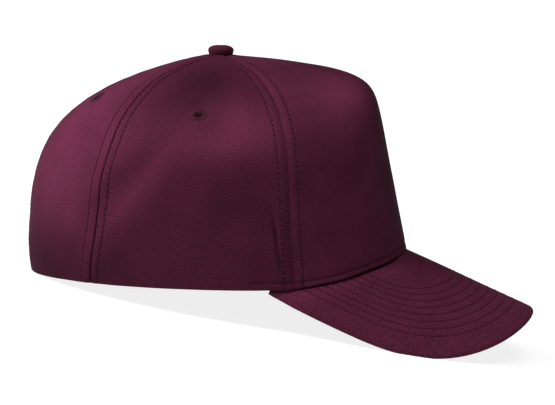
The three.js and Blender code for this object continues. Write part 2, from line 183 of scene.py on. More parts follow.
# Painted light and shade by part: the back panels and the peak are painted paler and the side
# panels darker than the front, as lit and shaded copies of one cloth
PANEL_PAINTED_LIGHT_AND_SHADE = {"front": 1.0, "side": 0.9, "back": 1.17}
PEAK_PAINTED_LIGHT = 1.1
WEAVE_SHOWS = {"front": 0.35, "side": 1.0, "back": 0.3}

# Eyelets: polar, share
EYELETS = {"side": (97, 0.58), "back": (164, 0.6)}

# Sewing: all in millimetres, polar angles in degrees
ROW_AWAY = 5.2
ROW_SINK = 0.2
ROW_SINK_WIDTH = 0.7
GROOVE_DEPTH = 0.9
GROOVE_WIDTH = 0.4
GROOVE_SOFT_DEPTH = 0.25
GROOVE_SOFT_WIDTH = 2.2
ALLOWANCE_LIFT = 0.2
RIM_LIFT = 1.3
RIM_LIFT_LEAST = 0.2
RIM_LIFT_GROWS = (5, 35)
RIM_LIFT_FADES = (48, 66)
PUCKER = 0.1
HEM_ROW = 3.9
HEM_POLAR = 77.0
HEM_ROLL = 1.0
HEM_ROLL_FADES = (55, 70)
INNER_HEM_ROLL = 0.4
CROWN_PITCH = 3.0
HEM_PITCH = 2.1
PEAK_PITCH = 2.6
PEAK_ROW_FIRST = 11.2
PEAK_ROW_STEP = 4.9
PEAK_ROWS = 8
PEAK_ROWS_STOP = 4.5
PEAK_ROW_SINK = 0.13
PEAK_ROW_WIDTH = 0.7
PEAK_SIDE_SHARE = 0.86
JOINT_DIP = 1.3
JOINT_DIP_STARTS = (0.9, 2.2)
JOINT_DIP_ENDS = (3.5, 7.5)
BAND_SEAT = 0.05
BAND_DROP = 0.5
ALLOWANCE_THICKNESS = 0.7
TAPE_THICKNESS = 0.35
TAPE_SEAT = 0.05
ROW_SHARES = (0.028, 0.93)
FAR = 99.0


def smooth_curve(keys, values, at):
    """Smooth curve through a table, level at both ends."""
    slopes = np.zeros(len(keys))
    slopes[1:-1] = (values[2:] - values[:-2]) / (keys[2:] - keys[:-2])
    at = np.clip(at, keys[0], keys[-1])
    i = np.clip(np.searchsorted(keys, at, side="right") - 1, 0, len(keys) - 2)
    span = keys[i + 1] - keys[i]
    t = (at - keys[i]) / span
    u = 1 - t
    return (values[i] * (1 + 2 * t) * u * u + slopes[i] * span * t * u * u
            + values[i + 1] * (3 - 2 * t) * t * t - slopes[i + 1] * span * u * t * t)


def smoothstep(value, low, high):
    t = np.clip((value - low) / (high - low), 0, 1)
    return t * t * (3 - 2 * t)


def bell(away, width):
    return np.exp(-(away / width) ** 2)


def run_along(u, v):
    """Distance run along a line of points, or along each column of a grid of points."""
    step = np.hypot(np.diff(u, axis=0), np.diff(v, axis=0))
    return np.concatenate([0 * step[:1], np.cumsum(step, axis=0)])


def from_front(polar):
    """Angle from the front on either side, 0 to 180 degrees."""
    return np.abs((np.asarray(polar) + 180) % 360 - 180)


def wall_radius(shape, z):
    rim, _, _, lean, tuck = shape
    return rim - lean * z - tuck * np.maximum(0, 1 - z / RIM_TUCK_HEIGHT) ** 2


def meridian_shape(polar):
    across = math.sin(math.radians(polar))
    ahead = math.cos(math.radians(polar))
    reach = FRONT_REACH if ahead > 0 else BACK_REACH
    rim = 1 / math.hypot(ahead / reach, across / HALF_WIDTH)
    roundness, shoulder, lean = (
        float(smooth_curve(MERIDIANS[:, 0], MERIDIANS[:, k], polar)) for k in (1, 2, 3))
    return rim, roundness, shoulder, lean, RIM_TUCK * max(0, -ahead)


def crown_radius(polar, z):
    shape = meridian_shape(polar)
    fall = 1 - (z / CROWN_HEIGHT) ** (1 / shape[2])
    return float(wall_radius(shape, z) * max(0, fall) ** (1 / shape[1]))


JOINT_REACH = crown_radius(0, PEAK_RISE)
CORNER_RADIUS = crown_radius(CORNER_POLAR, 0)
CORNER_ACROSS = CORNER_RADIUS * math.sin(math.radians(CORNER_POLAR))
CORNER_AHEAD = CORNER_RADIUS * math.cos(math.radians(CORNER_POLAR))
CORNER_DROP = math.cos(PEAK_SLOPE) * (
    PEAK_RISE + (JOINT_REACH - CORNER_AHEAD) * math.tan(PEAK_SLOPE) + GAP)
ARCH_RADIUS = (CORNER_ACROSS ** 2 + CORNER_DROP ** 2) / (2 * CORNER_DROP)


def arch_drop(x):
    return ARCH_RADIUS - np.sqrt(np.maximum(0, ARCH_RADIUS ** 2 - x * x))


def peak_top(x, y):
    rise = PEAK_RISE + (JOINT_REACH + y) * math.tan(PEAK_SLOPE)
    return rise - arch_drop(x) / math.cos(PEAK_SLOPE)


def to_sheet(x, y):
    u = ARCH_RADIUS * np.arcsin(np.clip(x / ARCH_RADIUS, -1, 1))
    v = (-y - JOINT_REACH + arch_drop(x) * math.sin(PEAK_SLOPE)) / math.cos(PEAK_SLOPE)
    return u, v


def sheet_normal(u):
    turn = u / ARCH_RADIUS
    return np.stack([
        np.sin(turn),
        -np.cos(turn) * math.sin(PEAK_SLOPE),
        np.cos(turn) * math.cos(PEAK_SLOPE)], axis=-1)


def from_sheet(u, v, depth):
    drop = ARCH_RADIUS * (1 - np.cos(u / ARCH_RADIUS))
    ahead = JOINT_REACH + v * math.cos(PEAK_SLOPE) - drop * math.sin(PEAK_SLOPE)
    height = PEAK_RISE - v * math.sin(PEAK_SLOPE) - drop * math.cos(PEAK_SLOPE)
    across = ARCH_RADIUS * np.sin(u / ARCH_RADIUS)
    sheet = np.stack([across, -ahead, height], axis=-1)
    return sheet - sheet_normal(u) * np.asarray(depth)[..., None]


def rim_height(polar):
    if polar >= CORNER_POLAR:
        return 0.0
    z = 0.0
    for _ in range(5):
        r = crown_radius(polar, z)
        x = r * math.sin(math.radians(polar))
        y = -r * math.cos(math.radians(polar))
        z = max(0.0, float(peak_top(x, y)) + GAP)
    return z


def clear_of_peak(points, rim_lift=0.0, gap=GAP):
    """Nothing above the peak reaches into it. The rim is lifted off it on both sides of the middle,
    and the lift fades out behind the corners."""
    polar = np.abs(np.degrees(np.arctan2(points[..., 0], -points[..., 1])))
    beside = RIM_LIFT_LEAST + (1 - RIM_LIFT_LEAST) * smoothstep(polar, *RIM_LIFT_GROWS)
    gap = gap + rim_lift * (1 - smoothstep(polar, *RIM_LIFT_FADES)) * beside
    lift = np.maximum(0, peak_top(points[..., 0], points[..., 1]) + gap - points[..., 2])
    fade = smoothstep(polar, CORNER_POLAR, CORNER_POLAR + CORNER_EASE)
    points[..., 2] += lift * (1 - fade)
    return points


# The crown as a table of meridians, read by polar angle and share
POLARS = np.linspace(0, 180, 361)
SHARES = np.linspace(0, 1, 401)
MERIDIAN_STEPS = 600
APEX_RADIUS = SHANK_RADIUS + SHANK_CLEARANCE


def meridian(polar):
    """Radius and height along one meridian at each share, and its length."""
    shape = meridian_shape(polar)
    low = rim_height(polar)
    turn = math.pi / 2 * (np.arange(1, MERIDIAN_STEPS + 1) / MERIDIAN_STEPS) ** (1 / (2 * shape[2]))
    z = CROWN_HEIGHT * np.sin(turn) ** (2 * shape[2])
    r = wall_radius(shape, z) * np.maximum(0, np.cos(turn)) ** (2 / shape[1])
    above = z > low
    z = np.concatenate([[low], z[above]])
    r = np.concatenate([[crown_radius(polar, low)], r[above]])
    end = int(np.argmax(r <= APEX_RADIUS))
    t = (r[end - 1] - APEX_RADIUS) / (r[end - 1] - r[end])
    z = np.concatenate([z[:end], [z[end - 1] + t * (z[end] - z[end - 1])]])
    r = np.concatenate([r[:end], [APEX_RADIUS]])
    run = run_along(r, z)
    at = SHARES * run[-1]
    return np.interp(at, run, r), np.interp(at, run, z), run[-1]


CROWN = [meridian(float(polar)) for polar in POLARS]
CROWN_R = np.array([row[0] for row in CROWN])
CROWN_Z = np.array([row[1] for row in CROWN])
CROWN_RUN = np.array([row[2] for row in CROWN])


def on_crown(polar, share):
    """Radius and height of the smooth crown."""
    polar, share = np.broadcast_arrays(np.asarray(polar, float), np.asarray(share, float))
    at = from_front(polar) * (len(POLARS) - 1) / 180
    along = np.clip(share, 0, 1) * (len(SHARES) - 1)
    i = np.minimum(at.astype(int), len(POLARS) - 2)
    j = np.minimum(along.astype(int), len(SHARES) - 2)
    a = at - i
    b = along - j
    result = []
    for grid in (CROWN_R, CROWN_Z):
        low = grid[i, j] * (1 - b) + grid[i, j + 1] * b
        high = grid[i + 1, j] * (1 - b) + grid[i + 1, j + 1] * b
        result.append(low * (1 - a) + high * a)
    return result


def run_length(polar):
    return np.interp(from_front(polar), POLARS, CROWN_RUN)


def smooth_point(polar, share):
    r, z = on_crown(polar, share)
    turn = np.radians(polar)
    return np.stack([r * np.sin(turn), -r * np.cos(turn), z], axis=-1)


def unit(vectors):
    return vectors / np.linalg.norm(vectors, axis=-1, keepdims=True)


def crown_normal(polar, share):
    low = np.maximum(0, share - 0.01)
    high = np.minimum(1, share + 0.01)
    around = smooth_point(polar + 0.5, share) - smooth_point(polar - 0.5, share)
    up = smooth_point(polar, high) - smooth_point(polar, low)
    return unit(np.cross(around, up))


def off_crown(polar, share, height):
    """Points over the smooth crown, along its normal."""
    return smooth_point(polar, share) + crown_normal(polar, share) * np.asarray(height)[..., None]


def seam_polar(seam, share):
    if seam == "middle":
        return np.full_like(np.asarray(share, float), 180.0)
    return smooth_curve(SEAMS[:, 0], SEAMS[:, SEAM_COLUMNS[seam]], share)


WAVES = np.random.default_rng(5).uniform(0, TAU, (8, 3))


def ripple(a, b, size):
    """Gentle uneven waves from -1 to 1 over a plane measured in millimetres."""
    total = np.zeros(np.broadcast(a, b).shape)
    for turn, phase, stretch in WAVES:
        length = size * (0.7 + 0.12 * stretch)
        total += np.sin(TAU * (a * math.cos(turn) + b * math.sin(turn)) / length + phase)
    return total / 4


def seam_fade(seam, share):
    """How far a seam's line is hidden: the front seams are pressed flat low down."""
    return 0.85 * (1 - smoothstep(share, 0.45, 0.8)) if seam == "front" else 0.0 * share


def seam_away(polar, seam, share, r):
    """Signed distance from a seam."""
    return np.radians(from_front(polar) - seam_polar(seam, share)) * r


def creases(at, share, r):
    """Distance from each crease, how far it has faded, and its width and depth."""
    for polar_0, share_0, polar_1, share_1, width, depth in CREASES:
        t = np.clip((share - share_0) / (share_1 - share_0), 0, 1)
        away = np.radians(at - polar_0 - t * (polar_1 - polar_0)) * r
        ends = smoothstep(share, share_1 - 0.03, share_1 + 0.03) * (
            1 - smoothstep(share, share_0 - 0.08, share_0 + 0.05))
        yield away, ends, width, depth


def near_row(polar, share, r):
    """Distance to the nearest stitch row of the crown, and the way along that row."""
    run = share * run_length(polar)
    best = np.full(np.shape(run), FAR)
    for seam in SEAM_NAMES:
        away = np.abs(seam_away(polar, seam, share, r))
        # Seam lines count as rows too, so the cloth's painted shade also runs along them
        pressed = away + 0.1 + 0.65 * seam_fade(seam, share)
        best = np.minimum(best, np.minimum(np.abs(away - ROW_AWAY), pressed))
    over_hem = np.abs(run - HEM_ROW)
    hem = (over_hem < best) & (from_front(polar) < HEM_POLAR)
    around = np.radians(polar) * on_crown(polar, 0)[0]
    return np.where(hem, over_hem, best), np.where(hem, around / HEM_PITCH, run / CROWN_PITCH)


def spot_shape(at, share, polar, height, turn, along, across):
    """A soft oval spot on the cloth, 1 in its middle. turn leans it, in degrees."""
    a = np.radians(polar - at) * HALF_WIDTH
    b = (share - height) * (CROWN_HEIGHT + HALF_WIDTH / 2)
    turn = math.radians(turn)
    up = (b * math.cos(turn) + a * math.sin(turn)) / (along * CROWN_HEIGHT)
    over = (a * math.cos(turn) - b * math.sin(turn)) / (across * CROWN_HEIGHT)
    return np.exp(-up ** 2 - over ** 2)


def soft_relief(polar, share, r):
    """Folds and hollows that the whole cloth follows."""
    at = from_front(polar)
    height = np.zeros(np.shape(r))
    for folds, scale in ((FOLDS, FOLD_DEPTH), (FINE_FOLDS, 1)):
        for *spot, depth in folds:
            height += depth * scale * spot_shape(at, share, *spot)
    above_band = smoothstep(share * CROWN_HEIGHT, BAND_HEIGHT * 0.75, BAND_HEIGHT * 1.6)
    from_button = np.minimum(1, r / (BUTTON_RADIUS * 3))
    return height * from_button * np.where(height < 0, above_band, 1)


def painted_light_and_shade(polar, share, kind):
    """Painted light and shade: how much paler or darker the cloth is painted beside its plain
    colour, with painted shade along the creases.
    """
    at = from_front(polar)
    level = np.ones(np.shape(at))
    for *spot, amount in PAINTED_LIGHT_AND_SHADE_SPOTS:
        level = level * (1 + amount * spot_shape(at, share, *spot))
    # Painted shade along each crease
    for away, ends, width, _ in creases(at, share, on_crown(polar, share)[0]):
        level = level * (1 - 0.7 * ends * bell(away, 0.7 * width))
    return level * PANEL_PAINTED_LIGHT_AND_SHADE[kind]


def skin_relief(polar, share, r):
    """Grooves, sewn rows, puckers and the rolled hem on the outer skin alone."""
    at = from_front(polar)
    side = np.where(polar < 0, 0, 37.0)
    run = share * run_length(polar)
    around = np.radians(polar) * r
    height = np.zeros(np.shape(r))
    calm = smoothstep(r, 8, 20)
    for k, seam in enumerate(SEAM_NAMES):
        away = seam_away(polar, seam, share, r)
        beside = np.abs(away)
        shut = 1 - seam_fade(seam, share)
        height -= GROOVE_DEPTH * shut * bell(away, GROOVE_WIDTH)
        height -= GROOVE_SOFT_DEPTH * bell(away, GROOVE_SOFT_WIDTH)
        height += ALLOWANCE_LIFT * smoothstep(beside, 0.8, 2.2) * (1 - smoothstep(beside, 4, 6.5))
        height -= ROW_SINK * bell(beside - ROW_AWAY, ROW_SINK_WIDTH)
        wave = ripple(run + side, np.full_like(run, 50.0 * k), 11)
        height += PUCKER * calm * wave * bell(beside - ROW_AWAY, 4.5)
    for away, ends, width, depth in creases(at, share, r):
        height += depth * ends * bell(away, width)
        height -= 0.45 * depth * ends * bell(away + 3.2, 2.2)
    front = smoothstep(np.minimum(at, 60) / 60, 0.4, 1)
    flat = 1 - 0.75 * smoothstep(at, 140, 165)
    height += (0.1 + 0.16 * front) * flat * calm * ripple(around, run, 34)
    hem = 1 - smoothstep(at, HEM_POLAR - 4, HEM_POLAR)
    height -= 0.35 * hem * bell(run - HEM_ROW, 0.7)
    height += 0.25 * smoothstep(at, 5, 25) * hem * bell(run - HEM_ROW * 0.5, 1.3)
    height += 0.12 * hem * bell(run - HEM_ROW, 3.5) * ripple(around, run, 8)
    return height


def rolled(distance, radius):
    """How far a skin turns in at a rounded edge."""
    short = np.clip(radius - distance, 0, radius)
    return radius - np.sqrt(np.maximum(0, radius ** 2 - short ** 2))


def outer_point(polar, share):
    """The cloth's outer face."""
    r, _ = on_crown(polar, share)
    roll = HEM_ROLL * (1 - 0.6 * smoothstep(np.abs(polar), *HEM_ROLL_FADES))
    height = soft_relief(polar, share, r) + skin_relief(polar, share, r)
    height = height - rolled(share * run_length(polar), roll)
    return clear_of_peak(off_crown(polar, share, height), RIM_LIFT)


def allowance_lift(run, r):
    """Thickness of the pressed-open allowances, which start above the sweatband."""
    above_band = smoothstep(run, BAND_HEIGHT + 2, BAND_HEIGHT + 8)
    return ALLOWANCE_THICKNESS * above_band * smoothstep(r, 9, 16)


def inner_point(polar, share):
    """The cloth's inner face, with the seam allowances pressed open on it."""
    r, _ = on_crown(polar, share)
    run = share * run_length(polar)
    depth = WALL - soft_relief(polar, share, r)
    for seam in SEAM_NAMES:
        beside = np.abs(seam_away(polar, seam, share, r))
        edges = (1 - smoothstep(beside, 6, 7.2)) * smoothstep(beside, 0.2, 1)
        depth += allowance_lift(run, r) * edges
    return clear_of_peak(off_crown(polar, share, rolled(run, INNER_HEM_ROLL) - depth), RIM_LIFT)


def turn_only(vectors):
    """Vectors of the cap's own frame, pitched back to how the cap lies."""
    y = vectors[..., 1] * math.cos(PITCH) + vectors[..., 2] * math.sin(PITCH)
    z = -vectors[..., 1] * math.sin(PITCH) + vectors[..., 2] * math.cos(PITCH)
    return np.stack([vectors[..., 0], y, z], axis=-1)


def place(points):
    """From the cap's own frame in millimetres to where it lies, in metres, pressed flat on the
    floor."""
    spots = turn_only(points) + [0, SHIFT_Y, SHIFT_Z]
    spots[..., 2] = np.maximum(spots[..., 2], 0)
    return spots * MM


WELD = 2e-6


def make_piece(name, points, faces, maps, material, replaced=()):
    """A mesh object from points in the cap's frame, quads that may have equal corners, and UV
    maps."""
    placed = place(points.reshape(-1, 3))
    keys = np.round(placed / WELD).astype(np.int64)
    _, first, inverse = np.unique(keys, axis=0, return_index=True, return_inverse=True)
    welded = inverse.reshape(-1)[faces]
    kept = welded != np.roll(welded, 1, axis=1)
    counts = kept.sum(axis=1)
    kept[counts < 3] = False
    counts = counts[counts >= 3]
    corners = faces[kept]
    mesh = bpy.data.meshes.new(name)
    mesh.vertices.add(len(first))
    mesh.vertices.foreach_set("co", placed[first].astype(np.float32).ravel())
    mesh.loops.add(len(corners))
    mesh.loops.foreach_set("vertex_index", welded[kept].astype(np.int32))
    mesh.polygons.add(len(counts))
    starts = np.concatenate([[0], np.cumsum(counts)[:-1]])
    mesh.polygons.foreach_set("loop_start", starts.astype(np.int32))
    mesh.update(calc_edges=True)
    mesh.validate()
    for title, values in maps.items():
        layer = mesh.uv_layers.new(name=title)
        if len(mesh.loops) != len(corners):
            raise RuntimeError(f"{name} has faces that Blender dropped")
        flat = values.reshape(-1, 2)[corners]
        layer.uv.foreach_set("vector", flat.astype(np.float32).ravel())
    mesh.shade_smooth()
    piece = bpy.data.objects.new(name, mesh)
    bpy.context.scene.collection.objects.link(piece)
    mesh.materials.append(material)
    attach(piece, "root")
    if replaced:
        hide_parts(*replaced)


def grid_faces(columns, rows, start=0, flip=False):
    """Quads of a grid whose points run along rows first."""
    i, j = np.meshgrid(np.arange(columns), np.arange(rows), indexing="ij")
    a = start + i * (rows + 1) + j
    b = a + rows + 1
    quads = np.stack([a, b, b + 1, a + 1], axis=-1).reshape(-1, 4)
    return quads[:, ::-1] if flip else quads


def shell_faces(columns, rows, hole=None):
    """Closed shell between two grids with the same layout. hole marks cells that are left out."""
    count = (columns + 1) * (rows + 1)
    top = grid_faces(columns, rows)
    under = grid_faces(columns, rows, count, flip=True)
    i = np.arange(columns) * (rows + 1)
    low = np.stack([count + i, count + i + rows + 1, i + rows + 1, i], axis=-1)
    i = i + rows
    high = np.stack([i, i + rows + 1, count + i + rows + 1, count + i], axis=-1)
    j = np.arange(rows)
    left = np.stack([count + j, j, j + 1, count + j + 1], axis=-1)
    j = j + columns * (rows + 1)
    right = np.stack([j, count + j, count + j + 1, j + 1], axis=-1)
    walls = [low, high, left, right]
    if hole is not None:
        keep = ~hole.reshape(-1)
        top = top[keep]
        under = under[keep]
        for a, b in np.argwhere(hole):
            at = a * (rows + 1) + b
            ring = [at, at + rows + 1, at + rows + 2, at + 1]
            beside = [(a, b - 1), (a + 1, b), (a, b + 1), (a - 1, b)]
            for k, (c, d) in enumerate(beside):
                if not hole[c, d]:
                    p, q = ring[k], ring[(k + 1) % 4]
                    walls.append(np.array([[q, p, count + p, count + q]]))
    return np.concatenate([top, under] + walls)


def make_shell(name, skins, maps, material, replaced=(), hole=None, ring=False):
    """A closed piece from its two skins, which have one layout. A map is for both skins, or a pair
    with one for each. A ring has no end walls."""
    columns, rows = skins[0].shape[0] - 1, skins[0].shape[1] - 1
    faces = shell_faces(columns, rows, hole)
    if ring:
        faces = faces[:-2 * rows]
    both = {title: np.stack(values if isinstance(values, tuple) else (values, values))
            for title, values in maps.items()}
    make_piece(name, np.stack(skins), faces, both, material, replaced)


# Cells of the panels: steps in from a seam and up from the rim, and their size elsewhere
EDGE_STEPS = np.array([0, 0.25, 0.5, 0.8, 1.2, 1.8, 2.6, 3.5, 4.3, 4.8, 5.2, 5.6, 6.1, 7, 8.2])
HEM_STEPS = np.array([0, 0.08, 0.2, 0.4, 0.7, 1, 1.4, 1.9, 2.5, 3.1, 3.5, 3.9, 4.3, 4.7, 5.4, 6.4])
CELL = 1.25

# The two signed seams of each panel
PANELS = {
    "front_panel": ((-1, "front"), (1, "front")),
    "side_panel_left": ((1, "front"), (1, "rear")),
    "side_panel_right": ((-1, "rear"), (-1, "front")),
    "back_panel_left": ((1, "rear"), (1, "middle")),
    "back_panel_right": ((-1, "middle"), (-1, "rear")),
}


def panel_edges(name, share):
    return [sign * seam_polar(seam, share) for sign, seam in PANELS[name]]


def panel(name):
    """One panel between its two seams. Its cells are finest along the seams and the hem."""
    length = float(run_length(sum(panel_edges(name, 0.3)) / 2))
    rows_above = int((length - HEM_STEPS[-1]) / CELL)
    upper = HEM_STEPS[-1] + (length - HEM_STEPS[-1]) * np.arange(1, rows_above + 1) / rows_above
    share = np.concatenate([HEM_STEPS, upper]) / length
    left, right = panel_edges(name, share)
    centre_line = (left + right) / 2
    width = np.radians(right - left) * on_crown(centre_line, share)[0]
    steps = EDGE_STEPS[:, None] * np.minimum(1, 0.42 * width / EDGE_STEPS[-1]) + GAP / 4
    from_left = left + np.degrees(steps / on_crown(left, share)[0])
    from_right = right - np.degrees(steps[::-1] / on_crown(right, share)[0])
    columns_between = int(width.max() / CELL)
    way = np.arange(1, columns_between)[:, None] / columns_between
    between = from_left[-1] * (1 - way) + from_right[0] * way
    polar = np.concatenate([from_left, between, from_right])
    share = np.broadcast_to(share, polar.shape)
    outer = outer_point(polar, share)
    kind = name.split("_")[0]
    hole = None
    if kind in EYELETS:
        eyelet_polar, eyelet_share = EYELETS[kind]
        centre = smooth_point(PANELS[name][0][0] * eyelet_polar, eyelet_share)
        centres = (outer[:-1, :-1] + outer[1:, 1:]) / 2
        hole = np.linalg.norm(centres - centre, axis=-1) < (EYELET_RADIUS + EYELET_HOLE) / 2
    r, _ = on_crown(polar, share)
    row, along = near_row(polar, share, r)
    level = painted_light_and_shade(polar, share, kind)
    maps = {
        "weave": np.stack([np.radians(polar - centre_line) * r, share * length], axis=-1),
        # The first part is the painted light and shade, the second how strongly the weave shows
        "dye": np.stack([level, np.full_like(level, WEAVE_SHOWS[kind])], axis=-1),
        "stitch": (np.stack([row, along], axis=-1),
                   np.stack([np.full_like(row, FAR), along], axis=-1)),
    }
    make_shell(name + "_cloth", (outer, inner_point(polar, share)), maps, finish_for("crown"),
               [name], hole)


def mirrored(values, sign=1):
    """Both halves of something that is given from a corner of the peak to its tip."""
    return np.concatenate([sign * values, values[-2::-1]])


def peak_inner_line():
    """The peak's inner edge under the rim, on its sheet, from the middle to a corner."""
    polar = np.linspace(0, CORNER_POLAR, 200)
    tucked = smoothstep(CORNER_POLAR - polar, 0, 4 * CORNER_EASE)
    depth = GAP + tucked * (WALL + BAND_GAP + BAND_THICKNESS - GAP)
    points = off_crown(polar, np.zeros_like(polar), -depth)
    return to_sheet(points[:, 0], points[:, 1])


def peak_line(way, inset):
    """Lines that run with the peak's outer edge. way is 0 at a corner, 1 where the nose starts and
    2 at the tip, and inset is the distance in from the edge."""
    corner = off_crown(CORNER_POLAR, 0.0, GAP)
    corner_u, corner_v = to_sheet(corner[0], corner[1])
    widest = float(to_sheet(CORNER_ACROSS, -CORNER_AHEAD)[0]) + PEAK_FLARE
    widest_v = PEAK_LENGTH - NOSE_DEPTH
    back = np.clip(1 - way, 0, 1)
    beside = inset - (1 - PEAK_SIDE_SHARE) * np.maximum(0, inset - PEAK_ROW_FIRST)
    side_u = widest + (corner_u - widest) * back ** 2 - beside
    side_v = widest_v + (corner_v - widest_v) * back + 0 * inset
    turn = np.clip(way - 1, 0, 1) * math.pi / 2
    nose_u = (widest - beside) * np.maximum(0, np.cos(turn)) ** (2 / NOSE_SIDE_ROUNDNESS)
    nose_v = widest_v + (NOSE_DEPTH - inset) * np.sin(turn) ** (2 / NOSE_TIP_ROUNDNESS)
    nose = way >= 1
    return np.where(nose, nose_u, side_u), np.where(nose, nose_v, side_v)


def even_ways(count):
    """Ways along the outer edge that are evenly spaced on the sheet."""
    way = np.concatenate([np.linspace(0, 1, 400), 1 + np.linspace(0, 1, 1200)[1:]])
    run = run_along(*peak_line(way, np.zeros_like(way)))
    return np.interp(np.linspace(0, run[-1], count + 1), run, way)


def inset_limit(way):
    """How far in each line across the peak reaches before the rim."""
    inner_u, inner_v = peak_inner_line()
    inset = np.linspace(0, 96, 769)
    u, v = peak_line(way[:, None], inset[None, :])
    over = v - np.interp(np.abs(u), inner_u, inner_v)
    past = (over <= 0) | (u < 0)
    first = np.argmax(past, axis=1)
    first = np.where(past.any(axis=1), np.maximum(first, 1), len(inset) - 1)
    rows = np.arange(len(way))
    before = over[rows, first - 1]
    after = over[rows, first]
    t = np.clip(before / np.maximum(before - after, 1e-9), 0, 1)
    return np.maximum(0.4, inset[first - 1] + t * (inset[first] - inset[first - 1]))


def peak_rows():
    return PEAK_ROW_FIRST + PEAK_ROW_STEP * np.arange(PEAK_ROWS)


def peak_relief(inset):
    """Sewn channels of the peak and the padding between them."""
    height = 0.12 * bell(inset - 5.5, 4)
    for row in peak_rows():
        height = height - PEAK_ROW_SINK * bell(inset - row, PEAK_ROW_WIDTH)
    return height


def peak_thickness(way):
    thin = CORNER_THINNING + (1 - CORNER_THINNING) * np.clip(way / 0.35, 0, 1)
    return PEAK_THICKNESS * thin


def peak_insets():
    steps = [-EDGE_BULGE + EDGE_BULGE * k for k in (0, 0.04, 0.15, 0.35, 0.6)]
    steps += [0, 0.35, 0.75, 1.3, 2.1]
    steps += list(np.arange(3, 96, 1.15))
    for row in peak_rows():
        steps = [s for s in steps if abs(s - row) > 0.9]
        steps += [row + k for k in (-0.75, -0.38, 0, 0.38, 0.75)]
    return np.array(sorted(steps))


def peak_skin(u, v, way, inset, limit, under):
    """Upper or under skin of the peak. limit is how far in the peak reaches on that line."""
    half = peak_thickness(way) / 2
    reach = EDGE_BULGE + half
    round_edge = np.sqrt(np.maximum(0, 1 - np.clip(1 - (inset + EDGE_BULGE) / reach, 0, 1) ** 2))
    height = half * round_edge + peak_relief(inset) * np.clip(inset / 3, 0, 1)
    if not under:
        beside = smoothstep(np.abs(u), 12, 45) * np.clip(way / 0.3, 0, 1)
        from_band = limit - inset
        ended = smoothstep(from_band, *JOINT_DIP_ENDS)
        dip = smoothstep(from_band, *JOINT_DIP_STARTS) * (1 - ended)
        height = height - JOINT_DIP * dip * beside
    calm = np.clip(inset / 8, 0, 1) * np.clip((limit - inset) / PEAK_ROWS_STOP, 0, 1)
    wave = 0.18 * ripple(u, v, 60) * calm
    depth = half + height - wave if under else half - height - wave
    return from_sheet(u, v, depth)


# Stitches: small bent capsules laid along a row
STITCH_SIDES = 6
STITCH_RINGS = 6
STITCH_POINTS = STITCH_SIDES * STITCH_RINGS
STITCH_SHARE = 0.8


def stitches(path, normals, along, pitch, radius):
    """Points and faces of the stitches on one row. along is the way at each point of the path."""
    first = math.ceil(along.min() / pitch)
    last = math.floor(along.max() / pitch)
    ring = np.linspace(0, TAU, STITCH_SIDES, endpoint=False)
    t = np.linspace(0, 1, STITCH_RINGS)
    swell = np.sqrt(np.maximum(0.04, 1 - (2 * t - 1) ** 4))
    dip = 0.5 * (2 * t - 1) ** 4
    all_points, all_faces, ends = [], [], []
    for k in range(1, STITCH_SIDES - 1):
        for offset, order in ((0, (0, k, k + 1)), (STITCH_RINGS - 1, (0, k + 1, k))):
            a, b, c = (index * STITCH_RINGS + offset for index in order)
            ends.append([a, b, c, c])
    faces = np.concatenate([grid_faces(STITCH_SIDES, STITCH_RINGS - 1) % STITCH_POINTS, ends])
    for k in range(first, last):
        at = (k + 0.5 + (t - 0.5) * STITCH_SHARE) * pitch
        centre, normal = (np.stack([np.interp(at, along, line[:, c]) for c in range(3)], axis=-1)
                          for line in (path, normals))
        normal = unit(normal)
        beside = np.cross(unit(np.gradient(centre, axis=0)), normal)
        centre = centre + normal * (radius * (0.55 - dip))[:, None]
        around = (beside[None] * np.cos(ring)[:, None, None]
                  + normal[None] * 0.8 * np.sin(ring)[:, None, None])
        points = centre[None] + around * (radius * swell)[None, :, None]
        all_faces.append(faces + len(all_points) * STITCH_POINTS)
        all_points.append(points.reshape(-1, 3))
    return np.concatenate(all_points), np.concatenate(all_faces)


def gather(name, parts):
    """One piece of thread from the stitches of several rows."""
    counts = np.cumsum([0] + [len(points) for points, _ in parts])
    faces = np.concatenate([quads + count for (_, quads), count in zip(parts, counts)])
    points = np.concatenate([points for points, _ in parts])
    make_piece(name, points, faces, {}, finish_for("thread"))


def seam_row(seam, sign, offset):
    """Path, normals and way of a row beside a seam."""
    share = np.linspace(*ROW_SHARES, 700)
    polar = seam_polar(seam, share)
    for _ in range(3):
        r, _ = on_crown(polar, share)
        polar = seam_polar(seam, share) + np.degrees(offset / r)
    polar = sign * polar
    return outer_point(polar, share), crown_normal(polar, share), share * run_length(polar)


def disc_frame(polar, share):
    """Centre and axes of a flat thing set into the cloth."""
    polar, share = np.array([float(polar)]), np.array([float(share)])
    spots = []
    for turn, rise in ((0, 0), (-1, 0), (1, 0), (0, -0.008), (0, 0.008)):
        at, up = polar + turn, share + rise
        height = soft_relief(at, up, on_crown(at, up)[0])
        spots.append(off_crown(at, up, height)[0])
    normal = unit(np.cross(spots[2] - spots[1], spots[4] - spots[3]))
    centre = spots[0] - normal * WALL / 2
    across = unit(np.cross(np.array([0.0, 0.0, 1.0]), normal))
    return centre, across, np.cross(normal, across), normal


# Finishes


def linear(code):
    """Linear colour from an sRGB hex code."""
    parts = [int(code[k:k + 2], 16) / 255 for k in (1, 3, 5)]
    return [c / 12.92 if c <= 0.04045 else ((c + 0.055) / 1.055) ** 2.4 for c in parts] + [1.0]


def add_node(tree, kind, settings, inputs):
    """Adds a node with its settings and links. An input is a value or another node's output."""
    node = tree.nodes.new(kind)
    for name, value in settings.items():
        setattr(node, name, value)
    for name, value in inputs.items():
        if isinstance(value, bpy.types.NodeSocket):
            tree.links.new(value, node.inputs[name])
        else:
            node.inputs[name].default_value = value
    return node


